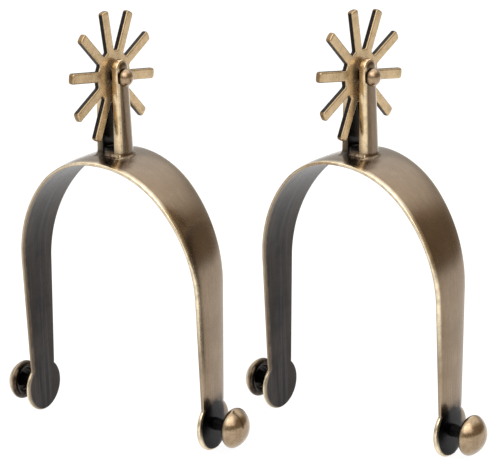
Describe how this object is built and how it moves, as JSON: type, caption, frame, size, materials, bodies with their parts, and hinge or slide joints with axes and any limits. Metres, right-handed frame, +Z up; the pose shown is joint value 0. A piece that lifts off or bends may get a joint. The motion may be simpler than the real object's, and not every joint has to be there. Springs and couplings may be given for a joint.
{
  "type": "spurs",
  "caption": "Horse riding spurs with arched heel bands, round ends, domed strap buttons, forked shanks and free-turning spoked rowels.",
  "frame": {"origin": "on the ground, midway between the two spurs", "axes": "+Z up along the shanks, +X from the left spur to the right one, roughly along the rowel pins, +Y from the nearer spur to the one set back"},
  "size_m": [0.1882, 0.0982, 0.1645],
  "materials": {
    "band_brass": "antiqued, satin brushed, darker inside",
    "shank_brass": "antiqued, satin with bright worn edges",
    "rowel_brass": "antiqued, satin faces with dark edges",
    "pin_brass": "antiqued, polished dome",
    "button_brass": "polished dome with a dark hollow back",
    "stem_brass": "oxidised"
  },
  "bodies": {
    "spurs": {"left_heel_band": "band_brass", "left_shank": "shank_brass", "left_rowel_pin": "pin_brass", "left_outer_button": "button_brass", "left_outer_stem": "stem_brass", "left_inner_button": "button_brass", "left_inner_stem": "stem_brass", "right_heel_band": "band_brass", "right_shank": "shank_brass", "right_rowel_pin": "pin_brass", "right_outer_button": "button_brass", "right_outer_stem": "stem_brass", "right_inner_button": "button_brass", "right_inner_stem": "stem_brass"},
    "left_rowel_wheel": {"left_rowel": "rowel_brass"},
    "right_rowel_wheel": {"right_rowel": "rowel_brass"}
  },
  "joints": [
    {"name": "left_rowel_spin", "type": "hinge", "parent": "spurs", "child": "left_rowel_wheel", "pos_m": [-0.0386, -0.0241, 0.13955], "axis": [0.9984, 0.0558, 0], "continuous": true},
    {"name": "right_rowel_spin", "type": "hinge", "parent": "spurs", "child": "right_rowel_wheel", "pos_m": [0.0386, 0.0241, 0.13955], "axis": [0.9984, -0.0558, 0], "continuous": true}
  ]
}
